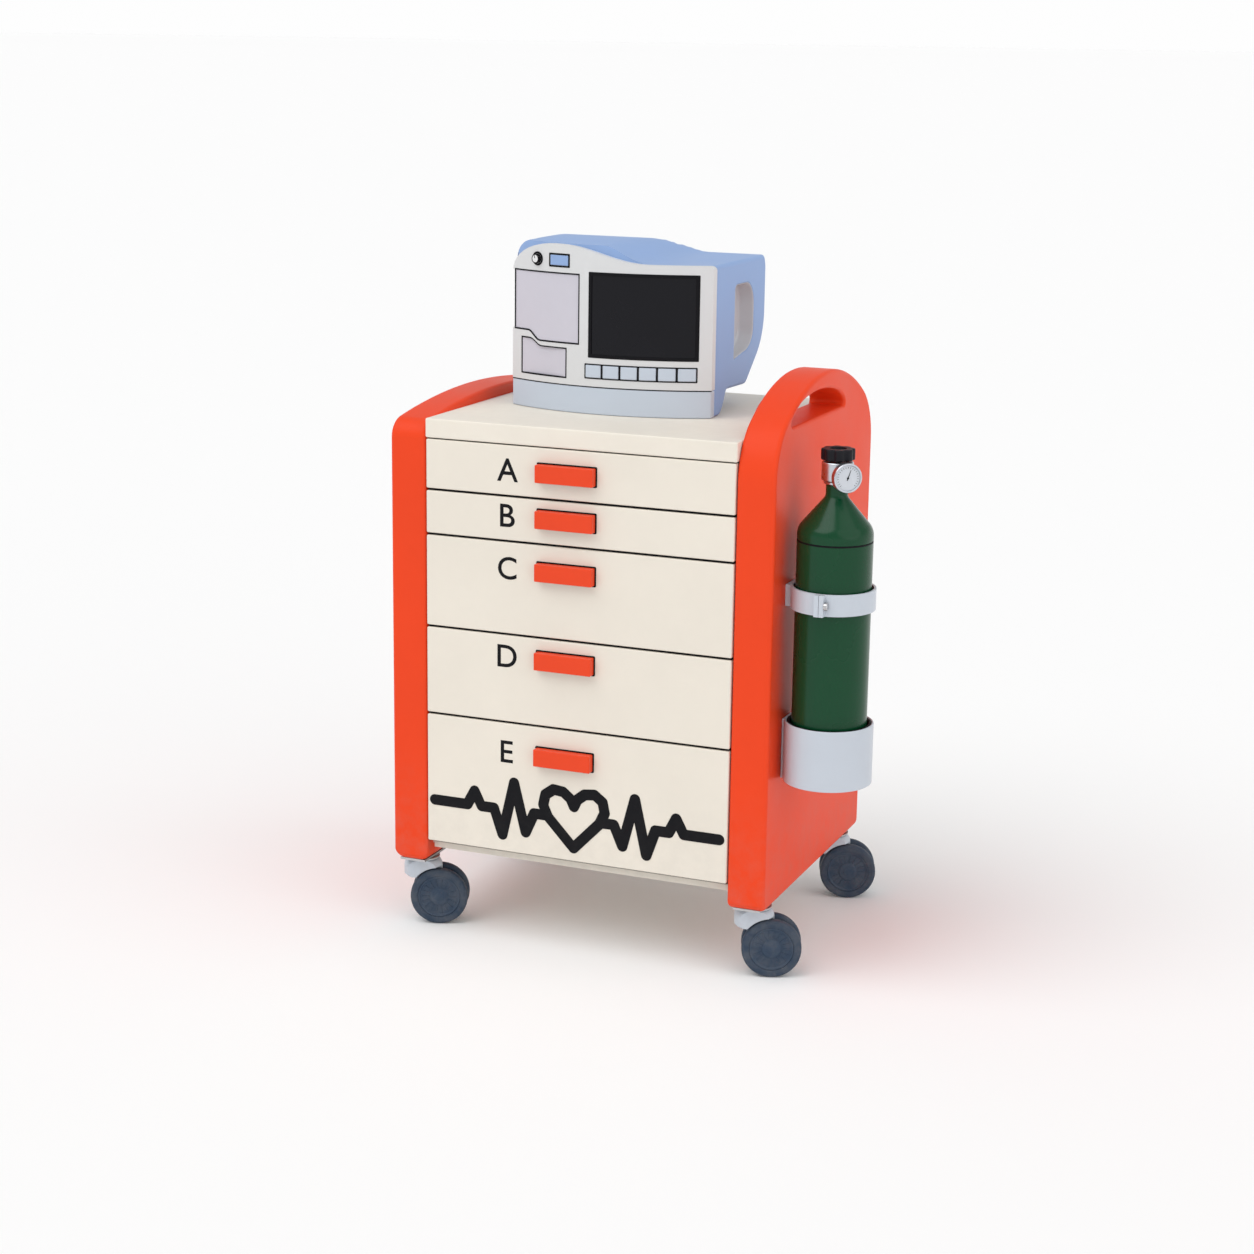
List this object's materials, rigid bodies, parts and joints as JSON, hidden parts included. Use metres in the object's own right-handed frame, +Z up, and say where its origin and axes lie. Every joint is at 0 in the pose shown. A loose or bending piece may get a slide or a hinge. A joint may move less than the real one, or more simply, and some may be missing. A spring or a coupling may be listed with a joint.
{
  "type": "emergency cart",
  "caption": "Hospital emergency cart with lettered drawers between moulded side panels, a defibrillator on the worktop and a strapped oxygen cylinder on swivel casters.",
  "frame": {"origin": "on the floor under the middle of the whole cart's box, from the rear left brake pedal to the oxygen cup and from the drawer pulls to the panels' back edges", "axes": "+Z up, -Y out of the drawer fronts, +X to the cart's oxygen side"},
  "size_m": [0.8807, 0.547, 1.204],
  "materials": {
    "panel_orange": "moulded satin plastic",
    "pull_orange": "moulded satin plastic",
    "cabinet_cream": "powder coat",
    "worktop_cream": "fine moulded grain",
    "slide_steel": "zinc plated",
    "tray_white": "satin",
    "screw_steel": "plated",
    "caster_grey": "satin",
    "wheel_slate": "moulded polyurethane",
    "pedal_grey": "satin",
    "holder_grey": "powder coat",
    "oxygen_green": "gloss enamel",
    "regulator_metal": "satin",
    "valve_black": "satin",
    "defib_blue": "fine moulded grain",
    "defib_white": "fine moulded grain",
    "defib_pale_blue": "satin",
    "defib_lilac": "satin",
    "screen_dark": "glossy",
    "electronics_dark": "satin",
    "knob_light": "satin"
  },
  "bodies": {
    "cabinet": {"side_panel_left": "panel_orange", "side_panel_right": "panel_orange", "worktop": "worktop_cream", "carcass_sides": "cabinet_cream", "back_panel": "cabinet_cream", "base_pan": "cabinet_cream", "slide_outer_members": "slide_steel", "back_panel_screws": "screw_steel", "caster_plates": "slide_steel", "cylinder_cup": "holder_grey", "band_saddle": "holder_grey"},
    "drawer_a": {"drawer_front_a": "cabinet_cream", "drawer_tray_a": "tray_white", "drawer_pull_a": "pull_orange"},
    "slide_a": {"slide_middle_a": "slide_steel"},
    "drawer_b": {"drawer_front_b": "cabinet_cream", "drawer_tray_b": "tray_white", "drawer_pull_b": "pull_orange"},
    "slide_b": {"slide_middle_b": "slide_steel"},
    "drawer_c": {"drawer_front_c": "cabinet_cream", "drawer_tray_c": "tray_white", "drawer_pull_c": "pull_orange"},
    "slide_c": {"slide_middle_c": "slide_steel"},
    "drawer_d": {"drawer_front_d": "cabinet_cream", "drawer_tray_d": "tray_white", "drawer_pull_d": "pull_orange"},
    "slide_d": {"slide_middle_d": "slide_steel"},
    "drawer_e": {"drawer_front_e": "cabinet_cream", "drawer_tray_e": "tray_white", "drawer_pull_e": "pull_orange"},
    "slide_e": {"slide_middle_e": "slide_steel"},
    "fork_fl": {"caster_fork_fl": "caster_grey"},
    "wheel_fl": {"caster_wheel_fl": "wheel_slate"},
    "fork_rl": {"caster_fork_rl": "caster_grey"},
    "wheel_rl": {"caster_wheel_rl": "wheel_slate"},
    "pedal_rl": {"brake_pedal_rl": "pedal_grey"},
    "fork_fr": {"caster_fork_fr": "caster_grey"},
    "wheel_fr": {"caster_wheel_fr": "wheel_slate"},
    "fork_rr": {"caster_fork_rr": "caster_grey"},
    "wheel_rr": {"caster_wheel_rr": "wheel_slate"},
    "pedal_rr": {"brake_pedal_rr": "pedal_grey"},
    "defib": {"defib_case": "defib_blue", "defib_fascia": "defib_white", "defib_base": "defib_pale_blue", "defib_screen": "screen_dark", "defib_electronics": "electronics_dark"},
    "pad_door": {"defib_pad_door": "defib_lilac"},
    "printer_door": {"defib_printer_door": "defib_lilac"},
    "knob": {"defib_knob": "knob_light"},
    "power_button": {"defib_power_button": "defib_blue"},
    "key_1": {"defib_key_1": "defib_pale_blue"},
    "key_2": {"defib_key_2": "defib_pale_blue"},
    "key_3": {"defib_key_3": "defib_pale_blue"},
    "key_4": {"defib_key_4": "defib_pale_blue"},
    "key_5": {"defib_key_5": "defib_pale_blue"},
    "key_6": {"defib_key_6": "defib_pale_blue"},
    "oxygen": {"oxygen_cylinder": "oxygen_green", "oxygen_regulator": "regulator_metal"},
    "valve_knob": {"oxygen_valve_knob": "valve_black"},
    "band_gate": {"band_front": "holder_grey"}
  },
  "joints": [
    {"name": "drawer_a_slide", "type": "slide", "parent": "cabinet", "child": "drawer_a", "axis": [0, -1, 0], "range_m": [0, 0.4]},
    {"name": "slide_a_follow", "type": "slide", "parent": "cabinet", "child": "slide_a", "axis": [0, -1, 0], "range_m": [0, 0.2]},
    {"name": "drawer_b_slide", "type": "slide", "parent": "cabinet", "child": "drawer_b", "axis": [0, -1, 0], "range_m": [0, 0.4]},
    {"name": "slide_b_follow", "type": "slide", "parent": "cabinet", "child": "slide_b", "axis": [0, -1, 0], "range_m": [0, 0.2]},
    {"name": "drawer_c_slide", "type": "slide", "parent": "cabinet", "child": "drawer_c", "axis": [0, -1, 0], "range_m": [0, 0.4]},
    {"name": "slide_c_follow", "type": "slide", "parent": "cabinet", "child": "slide_c", "axis": [0, -1, 0], "range_m": [0, 0.2]},
    {"name": "drawer_d_slide", "type": "slide", "parent": "cabinet", "child": "drawer_d", "axis": [0, -1, 0], "range_m": [0, 0.4]},
    {"name": "slide_d_follow", "type": "slide", "parent": "cabinet", "child": "slide_d", "axis": [0, -1, 0], "range_m": [0, 0.2]},
    {"name": "drawer_e_slide", "type": "slide", "parent": "cabinet", "child": "drawer_e", "axis": [0, -1, 0], "range_m": [0, 0.4]},
    {"name": "slide_e_follow", "type": "slide", "parent": "cabinet", "child": "slide_e", "axis": [0, -1, 0], "range_m": [0, 0.2]},
    {"name": "caster_fl_swivel", "type": "hinge", "parent": "cabinet", "child": "fork_fl", "pos_m": [-0.36664, -0.2075, 0.11], "axis": [0, 0, 1], "continuous": true},
    {"name": "caster_fl_roll", "type": "hinge", "parent": "fork_fl", "child": "wheel_fl", "pos_m": [-0.33845, -0.19724, 0.051], "axis": [-0.342, 0.9397, 0], "continuous": true},
    {"name": "caster_rl_swivel", "type": "hinge", "parent": "cabinet", "child": "fork_rl", "pos_m": [-0.36664, 0.2235, 0.11], "axis": [0, 0, 1], "continuous": true},
    {"name": "caster_rl_roll", "type": "hinge", "parent": "fork_rl", "child": "wheel_rl", "pos_m": [-0.33845, 0.23376, 0.051], "axis": [-0.342, 0.9397, 0], "continuous": true},
    {"name": "brake_rl_press", "type": "hinge", "parent": "fork_rl", "child": "pedal_rl", "pos_m": [-0.40516, 0.20948, 0.1], "axis": [0.342, -0.9397, 0], "range_deg": [0, 14]},
    {"name": "caster_fr_swivel", "type": "hinge", "parent": "cabinet", "child": "fork_fr", "pos_m": [0.25836, -0.2075, 0.11], "axis": [0, 0, 1], "continuous": true},
    {"name": "caster_fr_roll", "type": "hinge", "parent": "fork_fr", "child": "wheel_fr", "pos_m": [0.28655, -0.19724, 0.051], "axis": [-0.342, 0.9397, 0], "continuous": true},
    {"name": "caster_rr_swivel", "type": "hinge", "parent": "cabinet", "child": "fork_rr", "pos_m": [0.25836, 0.2235, 0.11], "axis": [0, 0, 1], "continuous": true},
    {"name": "caster_rr_roll", "type": "hinge", "parent": "fork_rr", "child": "wheel_rr", "pos_m": [0.28655, 0.23376, 0.051], "axis": [-0.342, 0.9397, 0], "continuous": true},
    {"name": "brake_rr_press", "type": "hinge", "parent": "fork_rr", "child": "pedal_rr", "pos_m": [0.21984, 0.20948, 0.1], "axis": [0.342, -0.9397, 0], "range_deg": [0, 14]},
    {"name": "defib_lift", "type": "slide", "parent": "cabinet", "child": "defib", "axis": [0, 0, 1], "range_m": [0, 0.15]},
    {"name": "pad_door_hinge", "type": "hinge", "parent": "defib", "child": "pad_door", "pos_m": [-0.26209, -0.04529, 1.092], "axis": [0, 0, -1], "range_deg": [0, 110]},
    {"name": "printer_door_hinge", "type": "hinge", "parent": "defib", "child": "printer_door", "pos_m": [-0.19758, -0.06914, 0.9765], "axis": [0.9548, -0.2974, 0], "range_deg": [0, 80]},
    {"name": "knob_turn", "type": "hinge", "parent": "defib", "child": "knob", "pos_m": [-0.21114, -0.0711, 1.173], "axis": [-0.3277, -0.9448, 0], "range_deg": [-135, 135]},
    {"name": "power_button_press", "type": "slide", "parent": "defib", "child": "power_button", "axis": [0, 1, 0], "range_m": [0, 0.002], "stiffness_N_per_m": 800},
    {"name": "key_1_press", "type": "slide", "parent": "defib", "child": "key_1", "axis": [0, 1, 0], "range_m": [0, 0.002], "stiffness_N_per_m": 800},
    {"name": "key_2_press", "type": "slide", "parent": "defib", "child": "key_2", "axis": [0, 1, 0], "range_m": [0, 0.002], "stiffness_N_per_m": 800},
    {"name": "key_3_press", "type": "slide", "parent": "defib", "child": "key_3", "axis": [0, 1, 0], "range_m": [0, 0.002], "stiffness_N_per_m": 800},
    {"name": "key_4_press", "type": "slide", "parent": "defib", "child": "key_4", "axis": [0, 1, 0], "range_m": [0, 0.002], "stiffness_N_per_m": 800},
    {"name": "key_5_press", "type": "slide", "parent": "defib", "child": "key_5", "axis": [0, 1, 0], "range_m": [0, 0.002], "stiffness_N_per_m": 800},
    {"name": "key_6_press", "type": "slide", "parent": "defib", "child": "key_6", "axis": [0, 1, 0], "range_m": [0, 0.002], "stiffness_N_per_m": 800},
    {"name": "oxygen_lift", "type": "slide", "parent": "cabinet", "child": "oxygen", "axis": [0, 0, 1], "range_m": [0, 0.3]},
    {"name": "valve_turn", "type": "hinge", "parent": "oxygen", "child": "valve_knob", "pos_m": [0.36636, -0.1695, 0.894], "axis": [0, 0, 1], "range_deg": [0, 270]},
    {"name": "band_swing", "type": "hinge", "parent": "cabinet", "child": "band_gate", "pos_m": [0.36636, -0.0945, 0.655], "axis": [0, 0, 1], "range_deg": [0, 110]}
  ],
  "couplings": [
    {"joint": "slide_a_follow", "follows": "drawer_a_slide", "ratio": 0.5},
    {"joint": "slide_b_follow", "follows": "drawer_b_slide", "ratio": 0.5},
    {"joint": "slide_c_follow", "follows": "drawer_c_slide", "ratio": 0.5},
    {"joint": "slide_d_follow", "follows": "drawer_d_slide", "ratio": 0.5},
    {"joint": "slide_e_follow", "follows": "drawer_e_slide", "ratio": 0.5}
  ]
}
